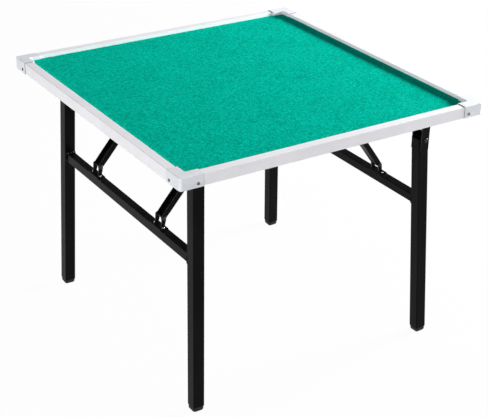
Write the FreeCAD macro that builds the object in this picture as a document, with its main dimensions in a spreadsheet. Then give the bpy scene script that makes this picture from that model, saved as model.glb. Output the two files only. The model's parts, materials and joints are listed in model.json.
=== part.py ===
import FreeCAD, Part
import math
import os
import Sketcher

os.makedirs("parts", exist_ok=True)
doc = FreeCAD.newDocument("folding_game_table")
sheet = doc.addObject("Spreadsheet::Sheet", "sizes")

# Driving sizes in millimetres, angles in degrees; names ending in share have no unit
SIZES = {
    # Table top
    "table_width": 960,
    "table_height": 750,
    "rim_height": 32,
    "rim_width": 26,
    "rim_wall": 1.8,
    "rim_round": 1.5,
    "rim_nip": 8,
    "felt_recess": 9.5,
    "felt_thick": 1.5,
    "board_thick": 18,
    "board_inset": 13,
    # Corner caps and their screws
    "cap_length": 66,
    "cap_proud": 1.2,
    "cap_lap": 4,
    "cap_drop": 1,
    "cap_corner_round": 8,
    "cap_inner_round": 4,
    "cap_edge_round": 2,
    "cap_screw_reach": 50,
    "cap_screw_drop": 22.5,
    "cap_screw_radius": 1.5,
    "cap_screw_head_radius": 4.3,
    "cap_screw_head_height": 1.8,
    "cap_screw_length": 8,
    # Leg frames
    "tube_width": 34,
    "tube_wall": 1.5,
    "tube_round": 3,
    "bar_width": 25,
    "bar_wall": 1.2,
    "left_lean_angle": 1.25,
    "right_lean_angle": 3.13,
    "leg_splay_angle": 2.66,
    "leg_top": 16,
    "leg_nip": 13,
    "pivot_offset": 4,
    "left_pivot_inset": 105.8,
    "left_pivot_drop": 74,
    "left_leg_inset": 112.3,
    "left_bar_drop": 225,
    "right_pivot_inset": 113.8,
    "right_pivot_drop": 122,
    "right_leg_inset": 110.8,
    "right_bar_drop": 191.5,
    "foot_height": 15,
    "foot_cut": 1.5,
    "foot_corner": 8.2,
    "foot_round": 8,
    "plug_length": 22,
    # Leg brackets
    "bracket_wall": 2,
    "bracket_play": 4,
    "bracket_shift": 0.6,
    "bracket_web_rise": 18.5,
    "left_ear_drop": 20,
    "right_ear_drop": 38,
    "ear_front": 16,
    "ear_back": 11,
    "ear_nip": 6,
    "plate_thick": 2.5,
    "bracket_plate_reach": 44,
    "bracket_plate_half": 38,
    "pivot_rivet_radius": 4,
    "pivot_head_radius": 7,
    "pivot_head_height": 2.5,
    # Wood screws
    "wood_screw_radius": 2,
    "wood_screw_head_radius": 4,
    "wood_screw_head_height": 2,
    "wood_screw_length": 14,
    "screw_inset": 8,
    # Folding stays
    "stay_place": 185,
    "stay_width": 30,
    "stay_depth": 16,
    "stay_wall": 2,
    "link_eye": 7,
    "link_taper": 28,
    "web_stop": 22,
    "arm_wall": 2,
    "bridge_start": 16,
    "bridge_end": 45,
    "collar_radius": 5.5,
    "collar_height": 2.1,
    "stay_rivet_radius": 3,
    "stay_head_radius": 6,
    "stay_head_height": 1.7,
    "knee_share": 0.5,
    "lug_length": 58,
    "lug_wall": 2.5,
    "lug_rise": 28,
    "lug_in": 5,
    "lug_eye": 7,
    "lug_foot_out": 3,
    "lug_foot_in": 7,
    "fixing_place": 22,
    "fixing_radius": 2,
    "fixing_head_radius": 3.6,
    "fixing_head_height": 1.6,
    "left_anchor_run": 185.5,
    "left_anchor_rise": 29,
    "right_anchor_run": 154.5,
    "right_anchor_rise": 60,
    "anchor_wall": 2.5,
    "anchor_eye": 9,
    "anchor_plate_reach": 20,
    "anchor_plate_half": 40,
    # Fits
    "running_clear": 0.08,
    "fit_clear": 0.02,
    "screw_clear": 0.2,
    "side_clear": 0.3,
    "overrun": 5,
}
for row, (alias, number) in enumerate(SIZES.items(), 1):
    sheet.set("A%d" % row, alias)
    sheet.set("B%d" % row, str(number))
    sheet.setAlias("B%d" % row, alias)
doc.recompute()


class Size:
    """A length together with the sheet expression that it comes from."""

    def __init__(self, value, text):
        self.value = value
        self.text = text

    def __add__(self, other):
        return Size(self.value + other.value, "(%s + %s)" % (self.text, other.text))

    def __sub__(self, other):
        return Size(self.value - other.value, "(%s - %s)" % (self.text, other.text))

    def __neg__(self):
        return Size(-self.value, "(0 - %s)" % self.text)

    def __mul__(self, factor):
        return Size(self.value * factor, "(%s * %r)" % (self.text, factor))

    def __truediv__(self, factor):
        return Size(self.value / factor, "(%s / %r)" % (self.text, factor))


def cell(alias):
    return Size(float(sheet.get(alias)), "sizes." + alias)


def worked_out(value):
    """A length that comes from the sheet's sizes by geometry."""
    return Size(value, repr(value))


zero = Size(0.0, "0")
over = cell("overrun")
running = cell("running_clear")
fit = cell("fit_clear")
side_clear = cell("side_clear")
splay = float(sheet.get("leg_splay_angle"))
knee_share = float(sheet.get("knee_share"))
X_AXIS = FreeCAD.Vector(1, 0, 0)
Y_AXIS = FreeCAD.Vector(0, 1, 0)
Z_AXIS = FreeCAD.Vector(0, 0, 1)
ALONG_Y = FreeCAD.Rotation(X_AXIS, -90)
UPRIGHT = FreeCAD.Rotation(X_AXIS, 90)
nodes = []


def point(x, y, z):
    return FreeCAD.Vector(x.value, y.value, z.value)


def at(x, y, z, turn=None):
    return FreeCAD.Placement(point(x, y, z), turn or FreeCAD.Rotation())


def turned(axis, angle):
    return FreeCAD.Placement(FreeCAD.Vector(), FreeCAD.Rotation(axis, angle))


def keep(label, piece, place=None):
    """Name a finished sub-part and put it in its place."""
    piece.Label = label
    if place is not None:
        piece.Placement = place
    nodes.append(piece)
    return piece


def new_body():
    return doc.addObject("PartDesign::Body", "body")


def outline(body, role, loops, circles=(), lift=None):
    """Sketch on an origin plane of the body, with every corner tied to the sheet."""
    plane = [item for item in body.Origin.OriginFeatures if item.Role == role][0]
    sketch = body.newObject("Sketcher::SketchObject", "outline")
    sketch.AttachmentSupport = [(plane, "")]
    sketch.MapMode = "FlatFace"
    if lift is not None:
        sketch.setExpression("AttachmentOffset.Base.z", lift.text)
    for loop in loops:
        first = sketch.GeometryCount
        ends = loop[1:] + loop[:1]
        for start, end in zip(loop, ends):
            sketch.addGeometry(Part.LineSegment(point(*start, zero), point(*end, zero)))
        for step in range(len(loop)):
            after = first + (step + 1) % len(loop)
            sketch.addConstraint(Sketcher.Constraint("Coincident", first + step, 2, after, 1))
        for step, (x, y) in enumerate(loop):
            tie(sketch, first + step, 1, x, y)
    for x, y, radius in circles:
        edge = sketch.addGeometry(Part.Circle(point(x, y, zero), Z_AXIS, radius.value))
        rule = sketch.addConstraint(Sketcher.Constraint("Radius", edge, radius.value))
        sketch.setExpression("Constraints[%d]" % rule, radius.text)
        tie(sketch, edge, 3, x, y)
    return sketch


def tie(sketch, edge, end, x, y):
    """Hold one sketch point at sheet distances from the origin."""
    for kind, size, axis in (("DistanceX", x, -2), ("DistanceY", y, -1)):
        if size.value == 0:
            sketch.addConstraint(Sketcher.Constraint("PointOnObject", edge, end, axis))
        else:
            rule = sketch.addConstraint(Sketcher.Constraint(kind, -1, 1, edge, end, size.value))
            sketch.setExpression("Constraints[%d]" % rule, size.text)


def shape_step(body, kind, sketch, length, both=True, back=False):
    feature = body.newObject("PartDesign::" + kind, kind.lower())
    feature.Profile = sketch
    feature.setExpression("Length", length.text)
    feature.SideType = "Symmetric" if both else "One side"
    feature.Reversed = back
    return feature


def pad(body, sketch, length, both=True, back=False):
    return shape_step(body, "Pad", sketch, length, both, back)


def pocket(body, sketch, length, both=True, back=False):
    return shape_step(body, "Pocket", sketch, length, both, back)


def round_edges(body, radius, wanted):
    """Fillet the edges of the body so far that the test picks."""
    doc.recompute()
    last = body.Tip
    names = ["Edge%d" % (count + 1) for count, edge in enumerate(last.Shape.Edges) if wanted(edge)]
    feature = body.newObject("PartDesign::Fillet", "fillet")
    feature.Base = (last, names)
    feature.setExpression("Radius", radius.text)


def runs_along(edge, axis):
    """True for a straight edge parallel to the axis."""
    if edge.Curve.TypeId != "Part::GeomLine":
        return False
    return abs(abs(edge.tangentAt(edge.FirstParameter).dot(axis)) - 1) < 1e-6


def through(edge, **where):
    """True where the edge's middle lies at the given coordinates."""
    middle = edge.CenterOfMass
    return all(abs(getattr(middle, name) - size.value) < 1e-4 for name, size in where.items())


def rectangle(x0, x1, y0, y1):
    return [(x0, y0), (x1, y0), (x1, y1), (x0, y1)]


def cylinder(radius, height, place):
    piece = doc.addObject("Part::Cylinder", "cylinder")
    piece.setExpression("Radius", radius.text)
    piece.setExpression("Height", height.text)
    piece.Placement = place
    return piece


def fused(pieces, place=None):
    whole = doc.addObject("Part::MultiFuse", "fused")
    whole.Shapes = pieces
    if place is not None:
        whole.Placement = place
    return whole


def compound(pieces):
    whole = doc.addObject("Part::Compound", "group")
    whole.Links = pieces
    return whole


def cut(base, tool):
    whole = doc.addObject("Part::Cut", "cut")
    whole.Base = base
    whole.Tool = tool
    return whole


def screw(radius, length, head_radius, head_height, place):
    """Screw with its head below z = 0 and its shank up along z."""
    shank = cylinder(radius, length + head_height, at(zero, zero, -head_height))
    head = cylinder(head_radius, head_height, at(zero, zero, -head_height))
    return fused([shank, head], place)


def rivet(radius, half, head_radius, head_height, place):
    """Pin along y with a head past each end of its middle length."""
    shank = cylinder(radius, (half + head_height) * 2, at(zero, -half - head_height, zero, ALONG_Y))
    near = cylinder(head_radius, head_height, at(zero, -half - head_height, zero, ALONG_Y))
    far = cylinder(head_radius, head_height, at(zero, half, zero, ALONG_Y))
    return fused([shank, near, far], place)


# Levels of the table top
half_width = cell("table_width") / 2
top = cell("table_height")
rim_bottom = top - cell("rim_height")
felt_top = top - cell("felt_recess")
board_top = felt_top - cell("felt_thick")
board_bottom = board_top - cell("board_thick")
rim_width = cell("rim_width")
rim_wall = cell("rim_wall")
inset = cell("board_inset")
board_side = (half_width - inset) * 2
plate = cell("plate_thick")

# Wood screws shared by the brackets and the anchors
wood_radius = cell("wood_screw_radius")
wood_length = cell("wood_screw_length")
wood_head = (cell("wood_screw_head_radius"), cell("wood_screw_head_height"))
bracket_screws = []
anchor_screws = []
pilot_holes = []


def wood_screws(group, places):
    """Screws through a plate into the panel, each with its pilot hole."""
    for x, y in places:
        seat = at(worked_out(x), worked_out(y), board_bottom - plate)
        group.append(screw(wood_radius, wood_length, *wood_head, seat))
        mouth = at(worked_out(x), worked_out(y), board_bottom)
        pilot_holes.append(cylinder(wood_radius + fit, wood_length - plate + fit, mouth))


# Rim strip, drawn as the front strip and turned round the table
rim_profile = [
    (-half_width, rim_bottom),
    (-half_width, top),
    (-half_width + rim_width, top),
    (-half_width + rim_width, felt_top),
    (-half_width + rim_width - rim_wall, felt_top),
    (-half_width + rim_width - rim_wall, top - rim_wall),
    (-half_width + inset, top - rim_wall),
    (-half_width + inset, board_bottom),
    (-half_width + rim_width, board_bottom),
    (-half_width + rim_width, board_bottom - rim_wall),
    (-half_width + rim_wall, board_bottom - rim_wall),
    (-half_width + rim_wall, rim_bottom),
]
rim_hollow = rectangle(
    -half_width + rim_wall, -half_width + inset - rim_wall, board_bottom, top - rim_wall)
nip = cell("rim_nip")
screw_reach = half_width - cell("cap_screw_reach")
screw_level = top - cell("cap_screw_drop")
screw_hole = cell("cap_screw_radius") + cell("screw_clear")
for turn, name in enumerate(("front", "right", "back", "left")):
    body = new_body()
    pad(body, outline(body, "YZ_Plane", [rim_profile, rim_hollow]), half_width * 2)
    round_edges(
        body, cell("rim_round"),
        lambda edge: runs_along(edge, X_AXIS) and through(edge, y=-half_width, z=top))
    mitres = []
    for sign in (1, -1):
        corner = [
            (-half_width - over, -half_width - over),
            (-half_width + nip + over, -half_width - over),
            (-half_width + nip / 2, -half_width + nip / 2),
            (-half_width + rim_width + over, -half_width + rim_width + over),
            (-half_width - over, -half_width + rim_width + over),
        ]
        mitres.append([(x * sign, y) for x, y in corner])
    ends = outline(body, "XY_Plane", mitres, lift=top + over)
    pocket(body, ends, cell("rim_height") + over * 2, both=False)
    holes = [(screw_reach * sign, screw_level, screw_hole) for sign in (1, -1)]
    drilled = outline(body, "XZ_Plane", [], holes, lift=half_width + over)
    pocket(body, drilled, over + rim_wall * 2, both=False)
    keep("rim_" + name, body, turned(Z_AXIS, turn * 90))

# Corner cap, drawn at the front left corner and turned round the table
cap = cell("cap_length")
proud = cell("cap_proud")
inner = rim_width + cell("cap_lap")
corner_round = cell("cap_corner_round")
cap_screw_parts = []
corners = ("front_left", "front_right", "back_right", "back_left")
for turn, name in enumerate(corners):
    body = new_body()
    ell = [(-proud, -proud), (cap, -proud), (cap, inner), (inner, inner), (inner, cap), (-proud, cap)]
    whole = outline(body, "XY_Plane", [ell], lift=rim_bottom - cell("cap_drop"))
    pad(body, whole, cell("cap_drop") + cell("rim_height") + proud, both=False)
    round_edges(
        body, corner_round,
        lambda edge: runs_along(edge, Z_AXIS) and through(edge, x=-proud, y=-proud))
    round_edges(
        body, cell("cap_inner_round"),
        lambda edge: runs_along(edge, Z_AXIS) and through(edge, x=inner, y=inner))
    round_edges(
        body, cell("cap_edge_round"),
        lambda edge: through(edge, z=top + proud) and min(edge.CenterOfMass[:2]) < corner_round.value / 2)
    long = cap + over
    strip = [
        (nip / 2, zero), (long, zero), (long, rim_width), (rim_width, rim_width),
        (rim_width, long), (zero, long), (zero, nip / 2)]
    hollow = outline(body, "XY_Plane", [strip], lift=top)
    pocket(body, hollow, cell("rim_height") + cell("cap_drop") + over, both=False)
    wide = inner + cell("cap_inner_round")
    lap = [
        (rim_width, rim_width), (long, rim_width), (long, wide),
        (wide, wide), (wide, long), (rim_width, long)]
    above = outline(body, "XY_Plane", [lap], lift=felt_top)
    pocket(body, above, felt_top - rim_bottom + cell("cap_drop") + over, both=False)
    reach = cell("cap_screw_reach")
    for role, lift, back in (("XZ_Plane", proud + over, False), ("YZ_Plane", -proud - over, True)):
        hole = outline(body, role, [], [(reach, screw_level, screw_hole)], lift=lift)
        pocket(body, hole, proud + over * 2, both=False, back=back)
    place = turned(Z_AXIS, turn * 90).multiply(at(-half_width, -half_width, zero))
    keep("corner_cap_" + name, body, place)
    for x, y, axis, angle in ((reach, -proud, X_AXIS, -90), (-proud, reach, Y_AXIS, 90)):
        spot = place.multiply(at(x, y, screw_level, FreeCAD.Rotation(axis, angle)))
        cap_screw_parts.append(screw(
            cell("cap_screw_radius"), cell("cap_screw_length"),
            cell("cap_screw_head_radius"), cell("cap_screw_head_height"), spot))
keep("cap_screws", compound(cap_screw_parts))

# Shared sizes of the leg frames
tube = cell("tube_width")
tube_half = tube / 2
bar = cell("bar_width")
offset = cell("pivot_offset")
stay_half = cell("stay_width") / 2
stay_wall = cell("stay_wall")
depth = cell("stay_depth") / 2
arm_inner = stay_half + cell("collar_height") + side_clear
arm_outer = arm_inner + cell("arm_wall")
anchor_inner = arm_outer + side_clear
anchor_outer = anchor_inner + cell("anchor_wall")
lug_wall = cell("lug_wall")
lug_outer = stay_half + side_clear + lug_wall
rivet_radius = cell("stay_rivet_radius")
fixing_radius = cell("fixing_radius")
head = (cell("stay_head_radius"), cell("stay_head_height"))
pivot_rivets = []
top_rivets = []


def leg_place(sign, half):
    """Place of a leg's own axis in its frame, splayed outwards towards the foot."""
    shift = FreeCAD.Vector(offset.value, sign * half.value, 0)
    return FreeCAD.Placement(shift, FreeCAD.Rotation(X_AXIS, sign * splay))


def leg_tube(sign, half, length, place):
    body = new_body()
    ring = rectangle(-tube_half, tube_half, -tube_half, tube_half)
    end = outline(body, "XY_Plane", [ring], lift=cell("leg_top"))
    pad(body, end, cell("leg_top") + length, both=False, back=True)
    round_edges(body, cell("tube_round"), lambda edge: runs_along(edge, Z_AXIS))
    bore = tube_half - cell("tube_wall")
    hollow = outline(body, "XY_Plane", [rectangle(-bore, bore, -bore, bore)], lift=cell("leg_top") + over)
    pocket(body, hollow, cell("leg_top") + length + over * 2, both=False)
    leg_nip = cell("leg_nip")
    slope = [
        (tube_half + over, cell("leg_top") + over),
        (tube_half + over, cell("leg_top") - leg_nip - over),
        (tube_half - leg_nip - over, cell("leg_top") + over),
    ]
    pocket(body, outline(body, "XZ_Plane", [slope]), tube + over * 2)
    body.Placement = leg_place(sign, half)
    far = half + tube
    pin = cylinder(cell("pivot_rivet_radius") + running, far * 2, at(zero, -far, zero, ALONG_Y))
    whole = cut(body, pin)
    whole.Placement = place
    return whole


def foot_cap(place, length):
    """Plug in the end of a leg with a domed sole, flat where it meets the floor."""
    body = new_body()
    base = -length - cell("foot_height")
    block = outline(body, "XY_Plane", [rectangle(-tube_half, tube_half, -tube_half, tube_half)], lift=base)
    pad(body, block, cell("foot_height"), both=False)
    round_edges(body, cell("foot_corner"), lambda edge: runs_along(edge, Z_AXIS))
    round_edges(
        body, cell("foot_round"), lambda edge: abs(edge.CenterOfMass.z - base.value) < 1e-4)
    bore = tube_half - cell("tube_wall") - fit
    plug = outline(body, "XY_Plane", [rectangle(-bore, bore, -bore, bore)], lift=-length)
    pad(body, plug, cell("plug_length"), both=False)
    body.Placement = place
    reach = (half_width + over) * 2
    floor = doc.addObject("Part::Box", "floor")
    floor.setExpression("Length", reach.text)
    floor.setExpression("Width", reach.text)
    floor.setExpression("Height", over.text)
    floor.Placement = at(-reach / 2, -reach / 2, -over)
    return cut(body, floor)


def crossbar(half, level, length, seats, place):
    """Tube between the legs, its ends cut to the legs' slope, with holes for the lugs' rivets."""
    body = new_body()
    bore = bar / 2 - cell("bar_wall")
    low = level - bar / 2
    high = level + bar / 2
    walls = [
        rectangle(offset - bar / 2, offset + bar / 2, low, high),
        rectangle(offset - bore, offset + bore, low + cell("bar_wall"), high - cell("bar_wall")),
    ]
    pad(body, outline(body, "XZ_Plane", walls), (half + tube) * 2)
    blocks = []
    for sign in (1, -1):
        block = doc.addObject("Part::Box", "block")
        block.setExpression("Length", tube.text)
        block.setExpression("Width", (tube * 4).text)
        block.setExpression("Height", length.text)
        start = -tube_half if sign > 0 else tube_half - tube * 4
        block.Placement = leg_place(sign, half).multiply(at(-tube_half, start, -length))
        blocks.append(block)
    holes = [cylinder(fixing_radius + fit, bar, at(offset, seat, level)) for seat in seats]
    whole = cut(body, compound(blocks + holes))
    whole.Placement = place
    return whole


def crossbar_lug(level, spot, place):
    """Saddle on the crossbar with two ears for the stay's lower pin."""
    body = new_body()
    low = level + bar / 2
    long = cell("lug_length") / 2
    base = outline(body, "XY_Plane", [rectangle(offset - bar / 2, offset + bar / 2, -long, long)], lift=low)
    pad(body, base, lug_wall, both=False)
    eye = cell("lug_eye")
    centre = offset + cell("lug_in")
    pin = low + cell("lug_rise")
    ear = [
        (offset - cell("lug_foot_out"), low),
        (offset + cell("lug_foot_in"), low),
        (centre + eye, pin - eye / 2),
        (centre + eye, pin + eye / 2),
        (centre + eye / 2, pin + eye),
        (centre - eye / 2, pin + eye),
        (centre - eye, pin + eye / 2),
        (centre - eye, pin - eye / 2),
    ]
    pad(body, outline(body, "XZ_Plane", [ear]), lug_outer * 2)
    gap = rectangle(offset - bar, offset + bar, low + lug_wall, pin + eye + over)
    pocket(body, outline(body, "XZ_Plane", [gap]), (lug_outer - lug_wall) * 2)
    hole = outline(body, "XZ_Plane", [], [(centre, pin, rivet_radius + fit)])
    pocket(body, hole, (lug_outer + over) * 2)
    holes = [(offset, cell("fixing_place") * side, fixing_radius + fit) for side in (1, -1)]
    drilled = outline(body, "XY_Plane", [], holes, lift=low + lug_wall + over)
    pocket(body, drilled, lug_wall + over * 2, both=False)
    body.Placement = place.multiply(at(zero, spot, zero))
    return body


def leg_bracket(rise, drop, place):
    """Two ears and a web above the leg's end, hung from a plate under the panel."""
    body = new_body()
    wall = cell("bracket_wall")
    gap = tube + cell("bracket_play")
    back = -cell("ear_back")
    front = cell("ear_front")
    ear_nip = cell("ear_nip")
    ear = [
        (back, rise),
        (back, -drop + ear_nip),
        (back + ear_nip, -drop),
        (front - ear_nip, -drop),
        (front, -drop + ear_nip),
        (front, rise),
    ]
    pad(body, outline(body, "XZ_Plane", [ear]), gap + wall * 2)
    room = [
        (back - over, -drop - over),
        (front + over, -drop - over),
        (front + over, rise - plate),
        (back + wall, rise - plate),
        (back + wall, cell("bracket_web_rise")),
        (back - over, cell("bracket_web_rise")),
    ]
    pocket(body, outline(body, "XZ_Plane", [room]), gap)
    wide = cell("bracket_plate_half")
    deep = cell("bracket_plate_reach")
    sheet_plate = outline(body, "XY_Plane", [rectangle(back, deep, -wide, wide)], lift=rise)
    pad(body, sheet_plate, plate, both=False, back=True)
    margin = cell("screw_inset")
    spots = []
    for x in (back + margin, deep - margin):
        for y in (wide - margin, margin - wide):
            spots.append((x, y))
    holes = [(x, y, wood_radius + cell("screw_clear")) for x, y in spots]
    pocket(body, outline(body, "XY_Plane", [], holes, lift=rise + over), plate + over * 2, both=False)
    hole = outline(body, "XZ_Plane", [], [(zero, zero, cell("pivot_rivet_radius") + fit)])
    pocket(body, hole, gap + wall * 2 + over * 2)
    body.Placement = place
    seats = [place.multVec(point(x, y, rise)) for x, y in spots]
    wood_screws(bracket_screws, [(seat.x, seat.y) for seat in seats])
    pivot_rivets.append(rivet(
        cell("pivot_rivet_radius"), gap / 2 + wall,
        cell("pivot_head_radius"), cell("pivot_head_height"), place))
    return body


def stay_anchor(rise, place):
    """Fork under the panel for the stay's upper pin."""
    body = new_body()
    eye = cell("anchor_eye")
    ear = [(-eye, rise), (-eye, -eye / 2), (-eye / 2, -eye), (eye / 2, -eye), (eye, -eye / 2), (eye, rise)]
    pad(body, outline(body, "XZ_Plane", [ear]), anchor_outer * 2)
    room = rectangle(-eye - over, eye + over, -eye - over, rise - plate)
    pocket(body, outline(body, "XZ_Plane", [room]), anchor_inner * 2)
    wide = cell("anchor_plate_half")
    deep = cell("anchor_plate_reach")
    base = outline(body, "XY_Plane", [rectangle(-deep, deep, -wide, wide)], lift=rise)
    pad(body, base, plate, both=False, back=True)
    margin = cell("screw_inset")
    spots = [(x, y) for x in (deep - margin, margin - deep) for y in (wide - margin, margin - wide)]
    holes = [(x, y, wood_radius + cell("screw_clear")) for x, y in spots]
    pocket(body, outline(body, "XY_Plane", [], holes, lift=rise + over), plate + over * 2, both=False)
    hole = outline(body, "XZ_Plane", [], [(zero, zero, rivet_radius + fit)])
    pocket(body, hole, (anchor_outer + over) * 2)
    body.Placement = place
    seats = [place.multVec(point(x, y, rise)) for x, y in spots]
    wood_screws(anchor_screws, [(seat.x, seat.y) for seat in seats])
    top_rivets.append(rivet(rivet_radius, anchor_outer, *head, place))
    return body


def link(length, start_eye, taper, half, inside, bridge, holes, place):
    """Channel between two pins: full side walls, a web only over the bridge's length."""
    body = new_body()
    end = length + depth
    sides = [
        (-start_eye, -start_eye),
        (taper, -depth),
        (end, -depth),
        (end, depth),
        (taper, depth),
        (-start_eye, start_eye),
    ]
    pad(body, outline(body, "XZ_Plane", [sides]), half * 2)
    round_edges(
        body, start_eye - side_clear,
        lambda edge: runs_along(edge, Y_AXIS) and edge.CenterOfMass.x < 0)
    round_edges(
        body, depth - side_clear,
        lambda edge: runs_along(edge, Y_AXIS) and edge.CenterOfMass.x > length.value)
    near, far, wall = bridge
    room = [
        (-depth - over, -depth - over),
        (near, -depth - over),
        (near, -depth + wall),
        (far, -depth + wall),
        (far, -depth - over),
        (end + over, -depth - over),
        (end + over, depth + over),
        (-depth - over, depth + over),
    ]
    pocket(body, outline(body, "XZ_Plane", [room]), inside * 2)
    round_holes = [(zero, zero, holes[0]), (length, zero, holes[1])]
    pocket(body, outline(body, "XZ_Plane", [], round_holes), (half + over) * 2)
    body.Placement = place
    return body


def knee_heads(place):
    """Two rivet heads, each with a stub in one arm of the upper link."""
    radius, height = head
    ends = []
    for sign in (1, -1):
        low = arm_inner if sign > 0 else -arm_outer - height
        stub = cylinder(rivet_radius, cell("arm_wall") + height, at(zero, low, zero, ALONG_Y))
        start = arm_outer if sign > 0 else -arm_outer - height
        disc = cylinder(radius, height, at(zero, start, zero, ALONG_Y))
        ends.append(fused([stub, disc], place))
    return compound(ends)


def leg_frame(frame, turn, rows):
    """One folding leg frame with its brackets, stays and anchors."""
    reach = half_width - cell(frame + "_pivot_inset")
    height = top - cell(frame + "_pivot_drop")
    half = half_width - cell(frame + "_leg_inset")
    around = turned(Z_AXIS, turn)
    lean = float(sheet.get(frame + "_lean_angle"))
    tilt = FreeCAD.Rotation(Y_AXIS, lean)
    frame_place = around.multiply(at(-reach, zero, height, tilt))
    level_scale = math.cos(math.radians(lean))
    level = -cell(frame + "_bar_drop") / level_scale
    slant = math.cos(math.radians(splay)) * level_scale
    floor_run = (height - offset * math.sin(math.radians(lean))) / slant
    length = floor_run - cell("foot_height") + cell("foot_cut")
    lug_rivets = []
    place = cell("stay_place")
    seats = []
    for name, sign in rows:
        seats += [(place + cell("fixing_place") * side) * sign for side in (1, -1)]
    keep(frame + "_crossbar", crossbar(half, level, length, seats, frame_place))
    grip = (lug_wall + cell("bar_wall")) / 2
    fixings = []
    for seat in seats:
        middle = frame_place.multiply(at(offset, seat, level + bar / 2 + lug_wall - grip, UPRIGHT))
        fixings.append(rivet(
            fixing_radius, grip, cell("fixing_head_radius"), cell("fixing_head_height"), middle))
    keep(frame + "_lug_fixings", compound(fixings))
    for name, sign in rows:
        own = frame_place.multiply(leg_place(sign, half))
        keep("%s_leg_%s" % (frame, name), leg_tube(sign, half, length, frame_place))
        keep("%s_foot_%s" % (frame, name), foot_cap(own, length))
        centre = (half + cell("bracket_shift")) * sign
        hung = around.multiply(at(-reach, centre, height))
        bracket = leg_bracket(board_bottom - height, cell(frame + "_ear_drop"), hung)
        keep("leg_bracket_%s_%s" % (frame, name), bracket)
        spot = place * sign
        keep("%s_lug_%s" % (frame, name), crossbar_lug(level, spot, frame_place))
        low_pin = point(offset + cell("lug_in"), spot, level + bar / 2 + cell("lug_rise"))
        pin_place = frame_place.multiply(FreeCAD.Placement(low_pin, FreeCAD.Rotation()))
        lug_rivets.append(rivet(rivet_radius, lug_outer, *head, pin_place))
        high_pin = at(
            cell(frame + "_anchor_run") - reach, spot, height + cell(frame + "_anchor_rise"))
        folding_stay(
            "%s_%s" % (frame, name), around, frame_place.multVec(low_pin), high_pin,
            board_bottom - height - cell(frame + "_anchor_rise"))
    keep(frame + "_lug_rivets", compound(lug_rivets))


def folding_stay(label, around, low_pin, high, rise):
    """Two links in line between the crossbar pin and the anchor pin, which hangs from its rise."""
    low = around.inverse().multVec(low_pin)
    run = high.Base.x - low.x
    climb = high.Base.z - low.z
    angle = math.degrees(math.atan2(climb, run))
    whole = worked_out(math.hypot(run, climb))
    lower = whole * knee_share
    upper = whole - lower
    up = FreeCAD.Rotation(Y_AXIS, -angle)
    down = FreeCAD.Rotation(Y_AXIS, 180 - angle)
    low_place = around.multiply(FreeCAD.Placement(low, up))
    high_place = around.multiply(FreeCAD.Placement(high.Base, down))
    web = (zero, lower - cell("web_stop"), stay_wall)
    snug = rivet_radius + fit
    loose = rivet_radius + running
    keep("lower_link_" + label, link(
        lower, cell("link_eye"), cell("link_taper"), stay_half, stay_half - stay_wall,
        web, (loose, snug), low_place))
    knee = low_place.multiply(at(lower, zero, zero))
    keep("knee_pin_" + label, rivet(
        rivet_radius, stay_half, cell("collar_radius"), cell("collar_height"), knee))
    bridge = (cell("bridge_start"), cell("bridge_end"), cell("arm_wall"))
    keep("upper_link_" + label, link(
        upper, depth, cell("bridge_start"), arm_outer, arm_inner,
        bridge, (loose, snug), high_place))
    keep("knee_heads_" + label, knee_heads(high_place.multiply(at(upper, zero, zero))))
    keep("stay_anchor_" + label, stay_anchor(rise, around.multiply(high)))


# Leg frames: the right one is turned half round, so its rows swap
leg_frame("left", 0, (("front", -1), ("back", 1)))
leg_frame("right", 180, (("front", 1), ("back", -1)))
keep("leg_pivot_rivets", compound(pivot_rivets))
keep("stay_top_rivets", compound(top_rivets))
keep("bracket_screws", compound(bracket_screws))
keep("anchor_screws", compound(anchor_screws))

# Panel with its pilot holes, and the felt on it
panel = doc.addObject("Part::Box", "panel")
panel.setExpression("Length", board_side.text)
panel.setExpression("Width", board_side.text)
panel.setExpression("Height", cell("board_thick").text)
panel.Placement = at(inset - half_width, inset - half_width, board_bottom)
keep("top_board", cut(panel, compound(pilot_holes)))
felt = doc.addObject("Part::Box", "felt")
felt.setExpression("Length", board_side.text)
felt.setExpression("Width", board_side.text)
felt.setExpression("Height", cell("felt_thick").text)
keep("felt_sheet", felt, at(inset - half_width, inset - half_width, board_top))

doc.recompute()
for item in doc.Objects:
    if "Invalid" in item.State or "Error" in item.State:
        raise RuntimeError("%s (%s) did not build: %s" % (item.Name, item.Label, item.State))
for piece in nodes:
    shape = piece.Shape
    if shape.isNull() or not shape.isValid() or not shape.Solids:
        raise RuntimeError("%s has no valid solid" % piece.Label)
for piece in nodes:
    piece.Shape.exportStep("parts/%s.step" % piece.Label)
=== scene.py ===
import json
import math

import bmesh
import bpy
from bpy.props import FloatProperty, FloatVectorProperty, IntProperty, PointerProperty
from mathutils import Matrix, Vector

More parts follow.
